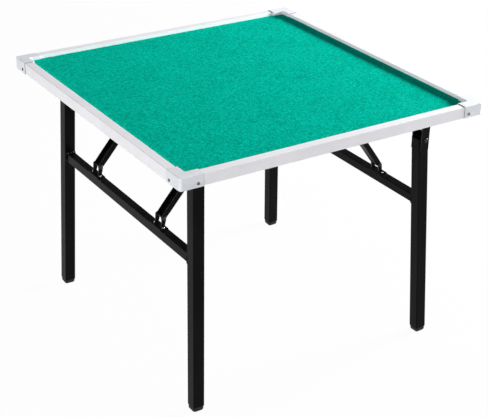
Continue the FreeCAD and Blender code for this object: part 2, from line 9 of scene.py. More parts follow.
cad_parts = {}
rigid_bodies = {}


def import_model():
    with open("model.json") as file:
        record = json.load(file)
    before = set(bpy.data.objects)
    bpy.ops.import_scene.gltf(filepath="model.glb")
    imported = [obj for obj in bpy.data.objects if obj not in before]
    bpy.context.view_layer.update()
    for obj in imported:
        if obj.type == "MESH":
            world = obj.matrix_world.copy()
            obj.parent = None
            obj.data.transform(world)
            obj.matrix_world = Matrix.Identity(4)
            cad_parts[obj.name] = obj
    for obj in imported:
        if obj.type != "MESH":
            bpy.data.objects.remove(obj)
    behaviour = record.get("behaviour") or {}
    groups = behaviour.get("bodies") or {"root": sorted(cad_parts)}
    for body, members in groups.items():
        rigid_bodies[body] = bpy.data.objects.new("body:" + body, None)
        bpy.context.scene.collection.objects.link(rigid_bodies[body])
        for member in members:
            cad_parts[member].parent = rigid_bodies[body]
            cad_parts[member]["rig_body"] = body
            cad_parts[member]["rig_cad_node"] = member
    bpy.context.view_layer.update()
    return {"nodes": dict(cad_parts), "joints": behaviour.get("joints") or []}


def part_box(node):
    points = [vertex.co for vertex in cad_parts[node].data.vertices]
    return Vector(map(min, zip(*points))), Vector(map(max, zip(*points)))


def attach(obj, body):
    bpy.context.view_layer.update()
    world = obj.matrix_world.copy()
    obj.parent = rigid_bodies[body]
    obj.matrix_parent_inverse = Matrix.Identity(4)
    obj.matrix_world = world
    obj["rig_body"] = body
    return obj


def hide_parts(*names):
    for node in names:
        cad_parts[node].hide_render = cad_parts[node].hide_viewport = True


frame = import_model()

bl_info = {
    "name": "Folding game table",
    "version": (1, 0, 0),
    "blender": (4, 5, 0),
    "location": "3D View > Sidebar > Game table",
    "description": "Dresses the folding game table: felt, rim, caps, painted steel and fasteners",
    "category": "Object",
}

X, Y, Z = range(3)
ROWS = ("front", "back")
SIDES = ("left", "right")
CORNERS = ("front_left", "front_right", "back_right", "back_left")
EDGES = ("front", "right", "back", "left")
PLACES = tuple((side, row) for side in SIDES for row in ROWS)
STAYS = tuple("%s_%s" % place for place in PLACES)
PIVOTS = {joint["child"]: Vector(joint["pos_m"]) for joint in frame["joints"]}
RIM_LOW, RIM_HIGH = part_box("rim_front")
CAP_LOW, CAP_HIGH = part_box("corner_cap_front_left")
FELT_LOW, FELT_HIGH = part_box("felt_sheet")
BOARD_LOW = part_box("top_board")[0]

# Limits that tell places, faces and edges apart
NEAR = 1e-5  # metres between places that count as one
FACING = 0.9  # least cosine for a face that looks along an axis
ASIDE = 0.1  # greatest cosine for a face that looks away from it
CAP_CREASE = 0.6  # radians, at the least, across a cap's edges that are rounded
HEAD_CREASE = 1  # radians, at the least, across the rim of a rivet's head
CORNER_SHARE = 0.35  # of a cap's corner radius: how far in its outer edge may bend
BAR_SHARE = 0.93  # of the crossbar's half width: where the tube's own edges lie
SPREAD = 2.5  # head radii within which corners belong to one screw

# Shares of a screw's head, rise and shank
HEAD_ROUND, TIP_ROUND = 0.7, 0.5
RECESS_WIDE, RECESS_LONG, RECESS_DEEP, RECESS_START = 0.13, 0.56, 0.5, 1.5

# Turns of the screws about their own axes, in radians
CAP_TURNS = (0.4, 1.1, 0.15, 0.8, 1.35, 0.6, 0.25, 0.95)
WOOD_TURN = 0.7

WELD_SQUARE = 10  # power that squares the round bead
WELD_RIPPLES = 44  # ripples round one bead

# Each lamp's name, place, target, width, height and power in watts
LAMPS = (
    ("key_softbox", (5.2, -0.25, 1.76), (0, 0, 0.75), 1.6, 0.62, 1260),
    ("left_softbox", (-8.2, -1.9, 1.86), (0, 0, 0.7), 5.5, 3.4, 530),
    ("front_softbox", (-0.6, -4.0, 1.3), (0, 0, 0.7), 2.6, 1.6, 36),
)


def length(name, metres):
    return FloatProperty(name=name, default=metres, min=0, precision=5, unit="LENGTH")


def number(name, default):
    return FloatProperty(name=name, default=default, min=0)


def angle(name, degrees):
    return FloatProperty(name=name, default=math.radians(degrees), subtype="ANGLE")


def colour(name, red, green, blue):
    return FloatVectorProperty(
        name=name, default=(red, green, blue), size=3, min=0, max=1, subtype="COLOR")


class TopSizes(bpy.types.PropertyGroup):
    """Sizes of the felt, the rim strips, the corner caps and their screws."""

    rim_wall: length("Thickness of the rim strip's sheet", 0.0018)
    rim_outer_round: length("Radius along the rim's outer top edge", 0.0015)
    rim_edge_round: length("Radius along the rim's other edges", 0.0008)
    rim_nip: length("How far the strip's pointed end is cut back", 0.008)
    rim_step: length("How far the strip's inner underside is set up", 0.0012)
    cap_lap: length("How far a cap reaches past the rim over the felt", 0.004)
    cap_corner_round: length("Radius of a cap's outer corner", 0.008)
    cap_inner_round: length("Radius of a cap's inner corner", 0.004)
    cap_top_round: length("Radius along a cap's outer top edge", 0.002)
    cap_edge_round: length("Radius along a cap's other edges", 0.0011)
    cap_screw_reach: length("From the table's corner to a cap screw", 0.05)
    cap_screw_drop: length("From the rim's top to a cap screw", 0.0225)
    cap_screw_head: length("Radius of a cap screw's head", 0.0043)
    cap_screw_rise: length("Height of a cap screw's head", 0.0018)
    cap_screw_shank: length("Radius of a cap screw's shank", 0.0015)
    cap_screw_length: length("Length of a cap screw's shank", 0.008)
    felt_nap: length("Height of the unevenness in the felt", 0.00006)
    felt_edge: length("Width of the flat margin along the felt's edge", 0.02)
    felt_cells: IntProperty(
        name="Rows of faces along one side of the felt", default=150, min=20, max=220)


class FrameSizes(bpy.types.PropertyGroup):
    """Sizes of the dressed leg frames, stays and fasteners."""

    steel_edge: length("Rounding of the pressed steel edges", 0.0004)
    sheet_steel: length("Upper limit for the thickness of the sheet", 0.0027)
    bar_edge: length("Rounding along the crossbar tube", 0.002)
    bar_width: length("Width of the crossbar tube", 0.025)
    rivet_dome: length("Rounding of the small rivet heads", 0.0013)
    pivot_dome: length("Rounding of the leg pivot heads", 0.002)
    wood_head: length("Radius of a wood screw's head", 0.004)
    wood_rise: length("Height of a wood screw's head", 0.002)
    wood_shank: length("Radius of a wood screw's shank", 0.002)
    wood_length: length("Length of a wood screw's shank", 0.014)
    tube_half: length("Half of the leg tube's width", 0.017)
    tube_wall: length("Wall of the leg tube", 0.0015)
    pivot_offset: length("From the pivot to the middle of the leg", 0.004)
    left_half: length("Leg place on the left pivot line", 0.3677)
    right_half: length("Leg place on the right pivot line", 0.3692)
    left_bar_drop: length("From the left pivot to its crossbar", 0.225)
    right_bar_drop: length("From the right pivot to its crossbar", 0.1915)
    left_lean: angle("Outward lean of the left leg frame", 1.25)
    right_lean: angle("Outward lean of the right leg frame", 3.13)
    splay: angle("Spread of the two legs of a frame", 2.66)
    foot_height: length("How far a foot reaches below its tube", 0.015)
    foot_cut: length("How much of the foot the level sole takes", 0.0015)
    foot_corner: length("Radius of the foot's upright edges", 0.0082)
    foot_sole: length("Radius round the foot's sole", 0.008)
    foot_plug: length("How far the foot's plug goes into the tube", 0.022)
    weld_size: length("Radius of the weld bead's section", 0.0055)
    weld_ripple: length("Height of the weld bead's ripples", 0.0004)


class TableFinishes(bpy.types.PropertyGroup):
    """Colours of the finishes, as scene linear values."""

    felt: colour("Middle green of the felt", 0.001, 0.36, 0.255)
    felt_deep: colour("Green between the felt's fibres", 0.0006, 0.23, 0.15)
    felt_tip: colour("Green of the felt's raised fibres", 0.003, 0.53, 0.41)
    rim: colour("White coat of the rim strips", 0.83, 0.83, 0.865)
    rim_dust: colour("Faintly dusty areas of the rim", 0.78, 0.775, 0.80)
    cap: colour("Moulded white of the corner caps", 0.745, 0.765, 0.81)
    cap_shade: colour("Duller areas of the corner caps", 0.69, 0.705, 0.74)
    # The caps' end faces are painted dark: painted shade that stands in for the shadow in the
    # joint with the rim strip.
    seam: colour("Painted shade at the ends of the corner caps", 0.03, 0.03, 0.032)
    painted_seam_shade_pale: colour("Paler spots in the painted shade at the caps' ends", 0.07, 0.07, 0.074)
    screw: colour("Dark plating of the cap screws", 0.10, 0.10, 0.108)
    screw_worn: colour("Worn plating of the cap screws", 0.24, 0.24, 0.25)
    paint: colour("Black paint of the steel", 0.0022, 0.0022, 0.0023)
    paint_dust: colour("Faint dust on the black paint", 0.0048, 0.0048, 0.0048)
    # The edge colour is lighter than the paint: partly worn, thin paint and partly a painted
    # highlight along the edges.
    paint_edge: colour("Thin paint and a painted highlight along the steel's edges", 0.06, 0.06, 0.061)
    rubber: colour("Moulded black of the feet", 0.0045, 0.0045, 0.0047)
    rubber_worn: colour("Scuffed black of the feet", 0.013, 0.0128, 0.0125)
    plated: colour("Dull plating of the wood screws", 0.30, 0.30, 0.31)
    plated_dark: colour("Darker plating of the wood screws", 0.16, 0.16, 0.165)
    rivet: colour("Blackened steel of the rivets", 0.05, 0.05, 0.052)
    rivet_dark: colour("Darker blackening of the rivets", 0.02, 0.02, 0.021)
    bright: colour("Bright plating of the lugs' rivets", 0.62, 0.62, 0.63)
    bright_dull: colour("Duller plating of the lugs' rivets", 0.42, 0.42, 0.43)
    board: colour("Brown of the panel", 0.11, 0.075, 0.048)
    board_grain: colour("Dark grain of the panel", 0.075, 0.05, 0.031)


class StudioSizes(bpy.types.PropertyGroup):
    """Camera, floor and even light of the studio."""

    azimuth: angle("Camera's turn round the table", -33.436)
    elevation: angle("Camera's height angle", 27.115)
    roll: angle("Camera's turn about its own line of sight", 1.378)
    place: FloatVectorProperty(
        name="Where the camera stands", size=3, default=(-1.79767, -2.75228, 2.01995),
        unit="LENGTH")
    lens: number("Focal length in millimetres", 90.98)
    sensor: number("Width of the picture's sensor in millimetres", 36)
    sight: length("How far the camera sees", 200)
    floor_size: length("Side of the plain floor", 60.0)
    floor_drop: length("How far the floor lies under the feet", 0.0002)
    floor_tone: number("Share of the light that the floor gives back", 0.38)
    floor_white: number("Share of plain white where the floor is seen", 0.97)
    even_light: number("Strength of the light from all round", 0.15)


# Modelling helpers


def only(piece):
    """Make the piece the one selected and active object."""
    bpy.ops.object.select_all(action="DESELECT")
    piece.select_set(True)
    bpy.context.view_layer.objects.active = piece


def open_edit(piece):
    only(piece)
    bpy.ops.object.mode_set(mode="EDIT")


def close_edit():
    bpy.ops.object.mode_set(mode="OBJECT")


def settled(name):
    """Name the new object and put its place, turn and scale into its mesh."""
    piece = bpy.context.object
    piece.name = name
    only(piece)
    bpy.ops.object.transform_apply(location=True, rotation=True, scale=True)
    return piece


def choose(kind, wanted):
    """Select the faces or edges, in edit mode, that the test picks."""
    piece = bpy.context.edit_object
    bpy.ops.mesh.select_mode(type=kind)
    bpy.ops.mesh.select_all(action="DESELECT")
    cage = bmesh.from_edit_mesh(piece.data)
    cage.normal_update()
    found = [part for part in (cage.faces if kind == "FACE" else cage.edges) if wanted(part)]
    if not found:
        raise RuntimeError("nothing to shape on %s" % piece.name)
    for part in found:
        part.select_set(True)
    bmesh.update_edit_mesh(piece.data)


def near(value, target):
    return abs(value - target) < NEAR


def faces_at(axis, sign, test=None):
    """A test for faces that look along an axis and pass the test of their centre."""
    def wanted(face):
        looks = face.normal[axis] * sign > FACING
        return looks and (test is None or test(face.calc_center_median()))
    return wanted


def edges_at(test):
    """A test for edges whose two ends both pass the test."""
    def wanted(edge):
        return all(test(end.co) for end in edge.verts)
    return wanted


def edges_on(**places):
    """A test for edges whose two ends both lie at the places, named by axis."""
    return edges_at(lambda spot: all(
        near(getattr(spot, axis), place) for axis, place in places.items()))


def round_edges(wanted, radius, steps):
    """Round the edges, in edit mode, that the test picks."""
    choose("EDGE", wanted)
    bpy.ops.mesh.bevel(
        offset=radius, offset_type="OFFSET", segments=steps, profile=0.5,
        affect="EDGES", clamp_overlap=True)


def push(x, y, z):
    """Extrude the chosen faces."""
    bpy.ops.mesh.extrude_region_move(TRANSFORM_OT_translate={"value": (x, y, z)})


def split(point, normal, trim=False):
    """Cut the open mesh by a plane, and close it again where one side is trimmed off."""
    bpy.ops.mesh.select_all(action="SELECT")
    bpy.ops.mesh.bisect(
        plane_co=point, plane_no=normal, use_fill=trim, clear_outer=trim, clear_inner=False)


def tidy_faces():
    """Merge doubles, join flat faces and point every face outwards."""
    bpy.ops.mesh.select_all(action="SELECT")
    bpy.ops.mesh.remove_doubles(threshold=1e-6)
    bpy.ops.mesh.dissolve_limited(angle_limit=math.radians(0.4))
    bpy.ops.mesh.normals_make_consistent(inside=False)


def modify(piece, kind, **settings):
    """Add a modifier, set it up and apply it."""
    only(piece)
    step = piece.modifiers.new(kind.lower(), kind)
    for name, value in settings.items():
        setattr(step, name, value)
    bpy.ops.object.modifier_apply(modifier=step.name)


def block(name, low, high):
    """A box between two corners, at the origin, ready to be shaped."""
    low, high = Vector(low), Vector(high)
    bpy.ops.mesh.primitive_cube_add(size=1, location=(low + high) / 2)
    bpy.context.object.scale = high - low
    return settled(name)


def carve(piece, tool):
    """Take the tool's volume out of the piece and delete the tool."""
    modify(piece, "BOOLEAN", operation="DIFFERENCE", solver="EXACT", object=tool)
    bpy.data.objects.remove(tool)


def copied(piece, name, matrix):
    """A copy with its own mesh, put in its place."""
    only(piece)
    bpy.ops.object.duplicate()
    bpy.context.object.matrix_world = matrix
    return settled(name)


def joined(pieces, name):
    only(pieces[0])
    for piece in pieces:
        piece.select_set(True)
    bpy.ops.object.join()
    whole = bpy.context.object
    whole.name = name
    return whole


def quarter(turn):
    return Matrix.Rotation(math.radians(90) * turn, 4, "Z")


def merged_copy(node, name):
    """A clean copy of a CAD node: its loose triangles merged and flat faces joined."""
    only(frame["nodes"][node])
    bpy.ops.object.duplicate()
    piece = bpy.context.object
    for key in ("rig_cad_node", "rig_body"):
        del piece[key]
    piece.parent = None
    piece.matrix_world = Matrix.Identity(4)
    piece.name = name
    piece.data.materials.clear()
    bpy.ops.mesh.customdata_custom_splitnormals_clear()
    open_edit(piece)
    tidy_faces()
    close_edit()
    return piece


def soften_edges(piece, radius, steps):
    """Round every sharp edge a little, with the new faces in the second material if any."""
    modify(
        piece, "BEVEL", width=radius, segments=steps, limit_method="ANGLE",
        angle_limit=math.radians(40), use_clamp_overlap=True,
        material=1 if len(piece.data.materials) > 1 else -1)


def give(piece, *finishes):
    piece.data.materials.clear()
    for finish in finishes:
        piece.data.materials.append(finish)


def hand_over(piece, body, slot, *nodes):
    """Smooth the finished piece, let it ride on its body and stand for its CAD nodes."""
    only(piece)
    bpy.ops.object.shade_smooth_by_angle(angle=math.radians(32))
    modify(piece, "WEIGHTED_NORMAL", weight=100, keep_sharp=True)
    piece.data.name = piece.name
    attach(piece, body)
    if nodes:
        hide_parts(*nodes)


# Node helpers and finishes


def emptied(owner, output):
    """The owner's node tree, emptied, and the surface socket of its new output."""
    owner.use_nodes = True
    tree = owner.node_tree
    tree.nodes.clear()
    return tree, tree.nodes.new(output).inputs["Surface"]


def new_node(tree, kind, **values):
    """A new node with the values of its sockets."""
    node = tree.nodes.new(kind)
    for socket, value in values.items():
        node.inputs[socket].default_value = value
    return node


def finish_named(name, specular=0.5):
    """A new material with its node tree and its shader."""
    finish = bpy.data.materials.new(name)
    tree, surface = emptied(finish, "ShaderNodeOutputMaterial")
    shader = tree.nodes.new("ShaderNodeBsdfPrincipled")
    shader.inputs["Specular IOR Level"].default_value = specular
    tree.links.new(shader.outputs["BSDF"], surface)
    return finish, tree, shader


def feed(tree, source, socket):
    """Set a socket to a number or link it to another socket."""
    if isinstance(source, (int, float)):
        socket.default_value = source
    else:
        tree.links.new(source, socket)


def combine(tree, operation, first, second):
    node = tree.nodes.new("ShaderNodeMath")
    node.operation = operation
    for source, socket in zip((first, second), node.inputs):
        feed(tree, source, socket)
    return node.outputs["Value"]


def weighed(tree, *parts):
    """The sum of factors, each times its weight."""
    total = None
    for source, weight in parts:
        part = combine(tree, "MULTIPLY", source, weight)
        total = part if total is None else combine(tree, "ADD", total, part)
    return total


def blend(tree, share, first, second):
    """A mix of two shaders by the share of the second."""
    node = tree.nodes.new("ShaderNodeMixShader")
    for source, socket in zip((share, first, second), node.inputs):
        feed(tree, source, socket)
    return node.outputs["Shader"]


def speckle(tree, scale, detail=3.0, rough=0.5, stretch=(1, 1, 1), turn=(0, 0, 0), warp=0.0):
    """Noise on Object coordinates, stretched and turned by a Mapping node."""
    where = tree.nodes.new("ShaderNodeTexCoord")
    mapping = new_node(tree, "ShaderNodeMapping", Scale=stretch, Rotation=turn)
    noise = new_node(
        tree, "ShaderNodeTexNoise", Scale=scale, Detail=detail, Roughness=rough, Distortion=warp)
    tree.links.new(where.outputs["Object"], mapping.inputs["Vector"])
    tree.links.new(mapping.outputs["Vector"], noise.inputs["Vector"])
    return noise.outputs["Fac"]


def vary(tree, shader, socket, source, *stops):
    """Let a shader's socket follow a factor; each stop is a place and a colour or grey."""
    node = tree.nodes.new("ShaderNodeValToRGB")
    bar = node.color_ramp
    while len(bar.elements) < len(stops):
        bar.elements.new(0.5)
    for element, (place, tone) in zip(bar.elements, stops):
        element.position = place
        tone = (tone,) * 3 if isinstance(tone, (int, float)) else tuple(tone)
        element.color = (*tone, 1)
    tree.links.new(source, node.inputs["Fac"])
    tree.links.new(node.outputs["Color"], shader.inputs[socket])


def relief(tree, shader, height, distance, strength):
    node = new_node(tree, "ShaderNodeBump", Strength=strength, Distance=distance)
    tree.links.new(height, node.inputs["Height"])
    tree.links.new(node.outputs["Normal"], shader.inputs["Normal"])


def coat(name, patches, stops, gloss, skin, specular=0.5, metallic=0.0):
    """A finish of three noises: patches of colour, uneven gloss and a fine relief.

    The gloss gives its noise's scale and detail and the range of the roughness; the skin
    gives its noise's scale and the relief's depth and strength.
    """
    finish, tree, shader = finish_named(name, specular)
    shader.inputs["Metallic"].default_value = metallic
    vary(tree, shader, "Base Color", speckle(tree, **patches), *stops)
    scale, detail, smooth, rough = gloss
    vary(tree, shader, "Roughness", speckle(tree, scale, detail), (0.3, smooth), (0.7, rough))
    scale, depth, strength = skin
    relief(tree, shader, speckle(tree, scale, detail=2), depth, strength)
    return finish


def felt_finish(tones):
    """Short matted wool: crossing fibres over a mottled ground."""
    finish, tree, shader = finish_named("green_felt_nap", specular=0.0)
    patches = speckle(tree, scale=11)
    grain = speckle(tree, scale=170, detail=4, rough=0.6, warp=1.6)
    strands = None
    for degrees in (12, 71, 131):
        strand = speckle(
            tree, scale=1, detail=2, stretch=(900, 130, 300),
            turn=(0, 0, math.radians(degrees)), warp=0.8)
        strands = strand if strands is None else combine(tree, "MAXIMUM", strands, strand)
    mixed = weighed(tree, (grain, 0.70), (strands, 0.26), (patches, 0.06))
    vary(
        tree, shader, "Base Color", mixed,
        (0.45, tones.felt_deep), (0.535, tones.felt), (0.62, tones.felt_tip))
    vary(tree, shader, "Roughness", strands, (0.3, 1.0), (0.8, 0.88))
    shader.inputs["Sheen Weight"].default_value = 0.03
    shader.inputs["Sheen Roughness"].default_value = 0.4
    shader.inputs["Sheen Tint"].default_value = (0.02, 0.8, 0.6, 1)
    height = combine(tree, "ADD", strands, grain)
    relief(tree, shader, height, distance=0.0006, strength=0.5)
    return finish


def rim_finish(tones):
    """Satin white coat with a fine orange peel and a trace of dust."""
    return coat(
        "white_rim_coat", dict(scale=9, detail=5, rough=0.6),
        ((0.42, tones.rim), (0.72, tones.rim_dust)),
        gloss=(40, 4, 0.30, 0.44), skin=(700, 0.00002, 0.5), specular=0.4)


def cap_finish(tones):
    """Moulded plastic with a spark-eroded skin."""
    return coat(
        "white_cap_moulded", dict(scale=28, detail=4, rough=0.55),
        ((0.38, tones.cap), (0.70, tones.cap_shade)),
        gloss=(120, 3, 0.40, 0.54), skin=(1500, 0.00005, 0.5), specular=0.4)


def painted_seam_shade_finish(tones):
    """Painted shade where a cap's end meets the strip: a dark speckled colour that stands in for
    the shadow in the joint.
    """
    finish, tree, shader = finish_named("cap_seam_grime", specular=0.1)
    shade_speckle = speckle(tree, scale=90, detail=4)
    vary(tree, shader, "Base Color", shade_speckle, (0.35, tones.seam), (0.75, tones.painted_seam_shade_pale))
    shader.inputs["Roughness"].default_value = 0.8
    return finish


def metal_finish(name, light, dark, scale, gloss):
    """Plated steel with uneven plating and fine turning marks."""
    return coat(
        name, dict(scale=scale, detail=5, rough=0.6), ((0.35, dark), (0.65, light)),
        gloss=(scale * 3, 3, gloss, gloss + 0.18), skin=(scale * 5, 0.00003, 0.4),
        metallic=0.9)


def paint_finish(name, tones, edge):
    """Baked black paint on steel: smooth, a little dusty; along the edges, thin paint whose
    lighter colour is also a painted highlight.
    """
    if edge:
        patches = dict(scale=140, detail=4, rough=0.6)
        stops = (0.40, tones.paint_dust), (0.62, tones.paint_edge)
    else:
        patches = dict(scale=18, detail=5, rough=0.6, stretch=(1, 1, 0.45))
        stops = (0.42, tones.paint), (0.74, tones.paint_dust)
    return coat(
        name, patches, stops, gloss=(60, 4, 0.24, 0.36), skin=(420, 0.00003, 0.35),
        specular=0.3 if edge else 0.05)


def foot_finish(tones):
    """Matt moulded plastic with scuffs."""
    return coat(
        "black_foot_moulded", dict(scale=90, detail=5, rough=0.65, stretch=(1, 1, 2.5)),
        ((0.48, tones.rubber), (0.72, tones.rubber_worn)),
        gloss=(300, 3, 0.50, 0.66), skin=(1400, 0.00006, 0.5), specular=0.25)


def board_finish(tones):
    """Sanded panel with long grain along the table's width."""
    finish, tree, shader = finish_named("board_wood_grain")
    rings = speckle(tree, scale=1, detail=4, rough=0.6, stretch=(2.2, 38, 38), warp=1.2)
    pores = speckle(tree, scale=1, stretch=(30, 900, 900))
    mixed = weighed(tree, (rings, 0.75), (pores, 0.25))
    vary(tree, shader, "Base Color", mixed, (0.40, tones.board_grain), (0.56, tones.board))
    vary(tree, shader, "Roughness", pores, (0.3, 0.72), (0.7, 0.58))
    relief(tree, shader, mixed, distance=0.0002, strength=0.4)
    return finish


def finish_of(make, name, *facts):
    """The finish of that name, made the first time that it is asked for."""
    return bpy.data.materials.get(name) or make(name, *facts)


def black_paint(tones, edge=False):
    return finish_of(paint_finish, "black_paint_edge" if edge else "black_paint", tones, edge)


# Operators, one for each piece or group of like pieces


class GAMETABLE_OT_felt_cover(bpy.types.Operator):
    """Lay the green felt on the panel, its margin under the rim"""

    bl_idname = "game_table.felt_cover"
    bl_label = "Felt cover"

    def execute(self, context):
        sizes = context.scene.top_sizes
        side = FELT_HIGH.x - FELT_LOW.x
        bpy.ops.mesh.primitive_grid_add(
            x_subdivisions=sizes.felt_cells, y_subdivisions=sizes.felt_cells, size=side,
            location=(0, 0, FELT_HIGH.z))
        felt = settled("felt_cover")
        open_edit(felt)
        margin = side / 2 - sizes.felt_edge
        choose("FACE", faces_at(Z, 1, lambda spot: max(abs(spot.x), abs(spot.y)) < margin))
        bpy.ops.transform.vertex_random(offset=sizes.felt_nap, uniform=0, normal=1, seed=7)
        bpy.ops.mesh.vertices_smooth(factor=0.5, repeat=2)
        close_edit()
        modify(felt, "SOLIDIFY", thickness=FELT_HIGH.z - FELT_LOW.z, offset=-1)
        give(felt, felt_finish(context.scene.table_finishes))
        hand_over(felt, "table_top", "green_felt", "felt_sheet")
        return {"FINISHED"}


class GAMETABLE_OT_top_board(bpy.types.Operator):
    """Finish the wood panel under the felt"""

    bl_idname = "game_table.top_board"
    bl_label = "Top board"

    def execute(self, context):
        board = frame["nodes"]["top_board"]
        board.material_slots[0].material = board_finish(context.scene.table_finishes)
        return {"FINISHED"}


class GAMETABLE_OT_rim_strips(bpy.types.Operator):
    """Model one white rim strip and copy it to the four edges"""

    bl_idname = "game_table.rim_strips"
    bl_label = "Rim strips"

    def execute(self, context):
        sizes = context.scene.top_sizes
        strip = block("rim_strip", RIM_LOW, RIM_HIGH)
        outer, inner = RIM_LOW.y, RIM_HIGH.y
        open_edit(strip)
        for level in (BOARD_LOW.z, FELT_HIGH.z):
            split((0, 0, level), (0, 0, 1))
        choose("FACE", faces_at(Y, 1, lambda spot: BOARD_LOW.z < spot.z < FELT_HIGH.z))
        push(0, BOARD_LOW.y - inner, 0)
        split((0, outer + sizes.rim_wall, 0), (0, 1, 0))
        choose("FACE", faces_at(Z, -1, lambda spot: (
            near(spot.z, RIM_LOW.z) and spot.y > outer + sizes.rim_wall)))
        push(0, 0, sizes.rim_step)
        for sign in (1, -1):
            split((0, 0, 0), (sign, 1, 0), trim=True)
            tip = Vector((-outer * sign, outer, 0))
            tip += Vector((-sign, 1, 0)) * (sizes.rim_nip / 2)
            split(tip, (sign, -1, 0), trim=True)
        tidy_faces()
        round_edges(edges_on(y=outer, z=RIM_HIGH.z), sizes.rim_outer_round, steps=6)
        round_edges(edges_on(y=inner, z=RIM_HIGH.z), sizes.rim_edge_round, steps=3)
        round_edges(edges_on(y=outer, z=RIM_LOW.z), sizes.rim_edge_round, steps=3)
        close_edit()
        give(strip, rim_finish(context.scene.table_finishes))
        for turn, edge in enumerate(EDGES):
            one = copied(strip, "rim_%s_coated" % edge, quarter(turn))
            hand_over(one, "table_top", "white_rim", "rim_" + edge)
        bpy.data.objects.remove(strip)
        return {"FINISHED"}


class GAMETABLE_OT_corner_caps(bpy.types.Operator):
    """Model one moulded corner cap and copy it to the four corners"""

    bl_idname = "game_table.corner_caps"
    bl_label = "Corner caps"

    def execute(self, context):
        sizes = context.scene.top_sizes
        tones = context.scene.table_finishes
        edge, lip = RIM_LOW.y, RIM_HIGH.y
        cap = self.outside(sizes, lip + sizes.cap_lap)
        past = CAP_HIGH.x + sizes.cap_lap
        under = CAP_LOW.z - sizes.cap_lap
        wall = edge - CAP_LOW.x
        for end in ((past, lip), (lip, past)):
            room = block("room", (edge, edge, under), (*end, RIM_HIGH.z))
            open_edit(room)
            round_edges(edges_on(x=edge, y=edge), sizes.cap_corner_round - wall, steps=8)
            close_edit()
            carve(cap, room)
        middle = (edge + lip) / 2
        carve(cap, block("room", (middle, middle, under), (past, past, FELT_HIGH.z)))
        open_edit(cap)
        for normal in ((1, 0, 0), (0, 1, 0)):
            split((lip, lip, 0), normal)
        close_edit()
        # The faces at the caps' outer ends take the painted shade of the joint with the strip.
        give(cap, cap_finish(tones), painted_seam_shade_finish(tones))
        for face in cap.data.polygons:
            at_end = max(face.center.xy) > CAP_HIGH.x - sizes.cap_edge_round / 2
            face.material_index = 1 if at_end and min(face.center.xy) < lip else 0
        for turn, corner in enumerate(CORNERS):
            one = copied(cap, "corner_cap_%s_moulded" % corner, quarter(turn))
            hand_over(one, "table_top", "white_cap", "corner_cap_" + corner)
        bpy.data.objects.remove(cap)
        return {"FINISHED"}

    def outside(self, sizes, reach):
        """The cap's angled block with its edges rounded, not yet hollow."""
        low, high = CAP_LOW, CAP_HIGH
        cap = block("corner_cap", low, (reach, reach, high.z))
        open_edit(cap)
        choose("FACE", faces_at(X, 1))
        push(high.x - reach, 0, 0)
        choose("FACE", faces_at(Y, 1, lambda spot: spot.x < reach))
        push(0, high.y - reach, 0)
        tidy_faces()
        round_edges(edges_on(x=low.x, y=low.y), sizes.cap_corner_round, steps=8)
        round_edges(edges_on(x=reach, y=reach), sizes.cap_inner_round, steps=8)
        bend = sizes.cap_corner_round * CORNER_SHARE
        round_edges(
            edges_at(lambda spot: near(spot.z, high.z) and min(spot.x, spot.y) - low.x < bend),
            sizes.cap_top_round, steps=5)
        at_bottom = edges_on(z=low.z)
        round_edges(
            lambda edge: edge.calc_face_angle(0) > CAP_CREASE and not at_bottom(edge),
            sizes.cap_edge_round, steps=3)
        close_edit()
        return cap


def pan_head_screw(head, rise, shank, run):
    """Screw with a rounded head below z = 0, a cross recess in it and its shank up along z."""
    bpy.ops.mesh.primitive_cylinder_add(
        vertices=32, radius=head, depth=rise, location=(0, 0, -rise / 2))
    screw = settled("screw")
    open_edit(screw)
    round_edges(edges_on(z=-rise), rise * HEAD_ROUND, steps=5)
    choose("FACE", faces_at(Z, 1))
    bpy.ops.mesh.inset(thickness=head - shank)
    push(0, 0, run)
    round_edges(edges_on(z=run), shank * TIP_ROUND, steps=2)
    close_edit()
    wide, long, deep = head * RECESS_WIDE, head * RECESS_LONG, rise * RECESS_DEEP
    for x, y in ((wide, long), (long, wide)):
        carve(screw, block("slot", (-x, -y, -rise * RECESS_START), (x, y, deep - rise)))
    return screw


class GAMETABLE_OT_cap_screws(bpy.types.Operator):
    """Model a cap screw and put two in each corner cap"""

    bl_idname = "game_table.cap_screws"
    bl_label = "Cap screws"

    def execute(self, context):
        sizes = context.scene.top_sizes
        tones = context.scene.table_finishes
        screw = pan_head_screw(
            sizes.cap_screw_head, sizes.cap_screw_rise,
            sizes.cap_screw_shank, sizes.cap_screw_length)
        along = RIM_LOW.y + sizes.cap_screw_reach
        level = RIM_HIGH.z - sizes.cap_screw_drop
        seats = (
            Matrix.Translation((along, CAP_LOW.y, level)) @ Matrix.Rotation(-math.pi / 2, 4, "X"),
            Matrix.Translation((CAP_LOW.x, along, level)) @ Matrix.Rotation(math.pi / 2, 4, "Y"),
        )
        placed = []
        for turn in range(len(CORNERS)):
            for seat in seats:
                own = Matrix.Rotation(CAP_TURNS[len(placed)], 4, "Z")
                placed.append(copied(screw, "screw_copy", quarter(turn) @ seat @ own))
        bpy.data.objects.remove(screw)
        whole = joined(placed, "cap_screws_plated")
        give(whole, metal_finish(
            "dark_screw_plating", tones.screw_worn, tones.screw, scale=400, gloss=0.3))
        hand_over(whole, "table_top", "dark_screw", "cap_screws")
        return {"FINISHED"}


def own_frame(node):
    """The body of a node that is named after the side of its leg frame."""
    return node.split("_")[0] + "_frame"


